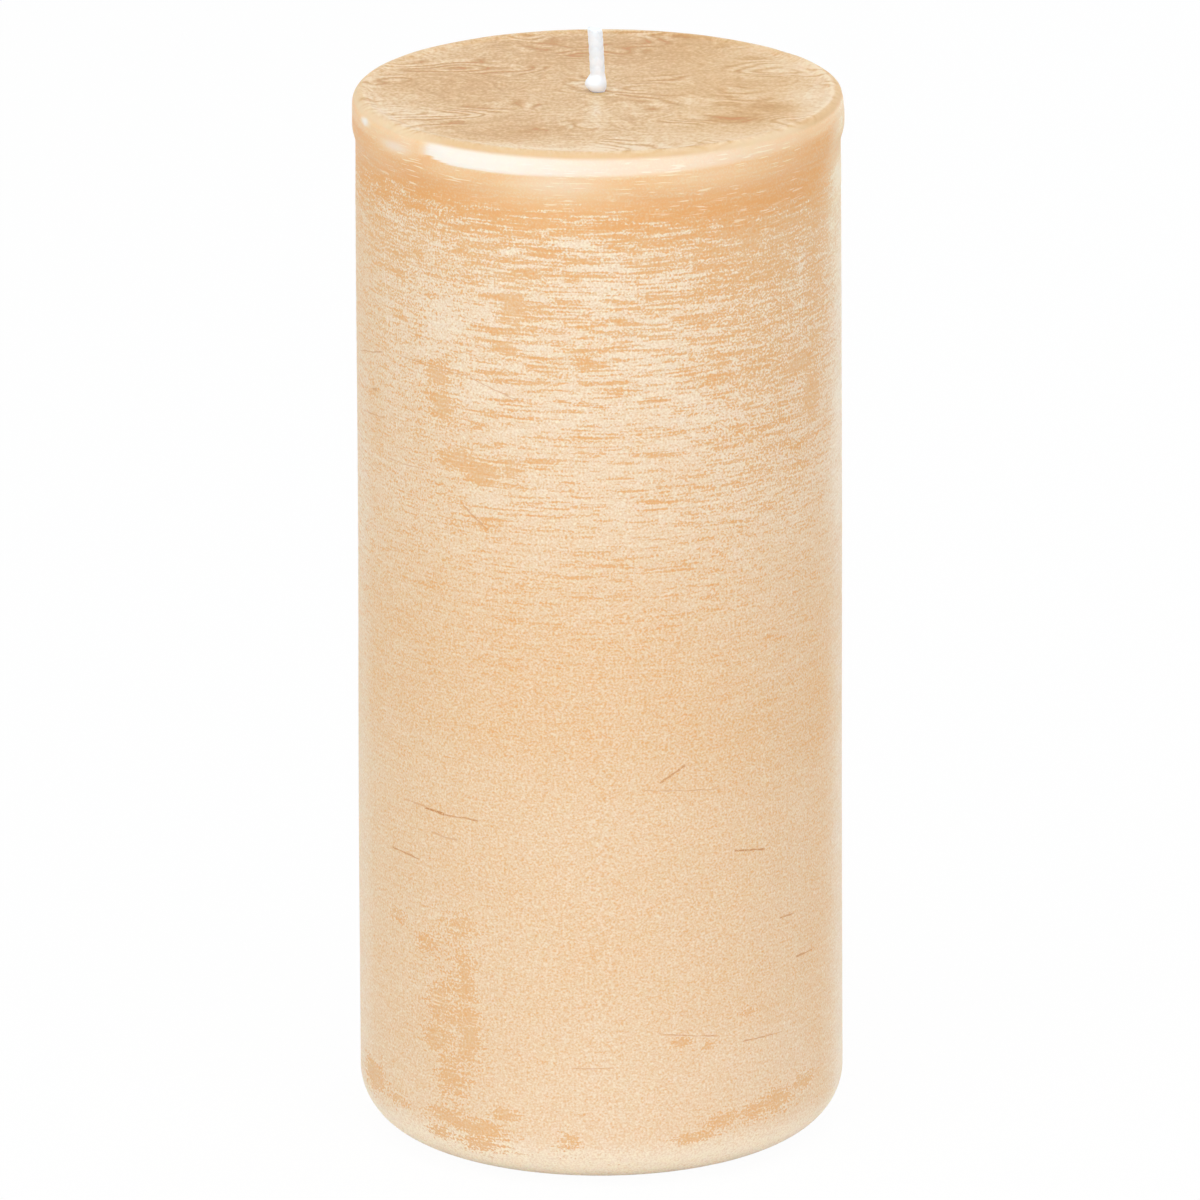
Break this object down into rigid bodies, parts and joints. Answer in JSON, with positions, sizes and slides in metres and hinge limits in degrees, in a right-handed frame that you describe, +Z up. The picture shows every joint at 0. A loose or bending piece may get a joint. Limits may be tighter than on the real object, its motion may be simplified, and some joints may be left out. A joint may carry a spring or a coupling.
{
  "type": "pillar candle",
  "caption": "Tall round candle of frosted wax with a rounded foot, a melted rim that stands slightly proud, a braided wick up the middle and a metal wick tab in the underside.",
  "frame": {"origin": "middle of the foot, on the surface that the candle stands on", "axes": "+Z up the candle's axis towards the wick; the wick's tip leans towards -X"},
  "size_m": [0.0684, 0.0684, 0.159],
  "materials": {
    "wax": "dyed-through peach wax, frosted and streaked on the wall, satin on the rim and top face",
    "cotton": "braided white cotton, dipped in clear wax",
    "tin": "thin pressed tinplate"
  },
  "bodies": {
    "root": {"wax_body": "wax", "wick": "cotton", "wick_tab": "tin"}
  },
  "joints": []
}
